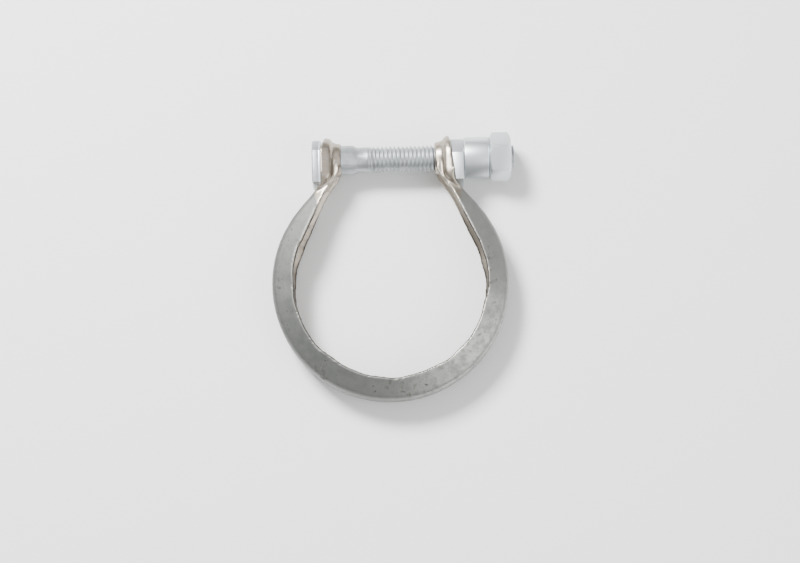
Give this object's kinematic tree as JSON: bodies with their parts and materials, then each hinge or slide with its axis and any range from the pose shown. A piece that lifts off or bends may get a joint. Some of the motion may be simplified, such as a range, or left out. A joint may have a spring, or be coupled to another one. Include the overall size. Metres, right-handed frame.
{
  "type": "exhaust clamp",
  "caption": "One-piece pressed V-profile ring clamp for an exhaust flange joint, with dished lugs closed by a T-head screw, shaped saddles, a spacer sleeve and a hex nut.",
  "frame": {"origin": "centre of the ring at the middle of the strip's width", "axes": "+Z along the ring's axis, +Y from the ring's centre to the screw, +X along the screw from its head to its nut"},
  "size_m": [0.0741, 0.0811, 0.0146],
  "materials": {
    "stainless_strip": "drawn, stained",
    "zinc_flake": "matt zinc flake"
  },
  "bodies": {
    "clamp": {"band": "stainless_strip", "bolt": "zinc_flake", "head_saddle": "zinc_flake"},
    "saddle": {"nut_saddle": "zinc_flake"},
    "sleeve": {"spacer_sleeve": "zinc_flake"},
    "nut": {"hex_nut": "zinc_flake"}
  },
  "joints": [
    {"name": "saddle_slide", "type": "slide", "parent": "clamp", "child": "saddle", "axis": [1, 0, 0], "range_m": [0, 0.002]},
    {"name": "sleeve_slide", "type": "slide", "parent": "saddle", "child": "sleeve", "axis": [1, 0, 0], "range_m": [0, 0.003]},
    {"name": "nut_spin", "type": "hinge", "parent": "sleeve", "child": "nut", "pos_m": [0.034, 0.0384, 0], "axis": [1, 0, 0], "range_deg": [0, 1440]}
  ],
  "couplings": [
    {"joint": "sleeve_slide", "follows": "saddle_slide", "ratio": 1.5},
    {"joint": "nut_spin", "follows": "saddle_slide", "rad_per_m": 12566}
  ]
}
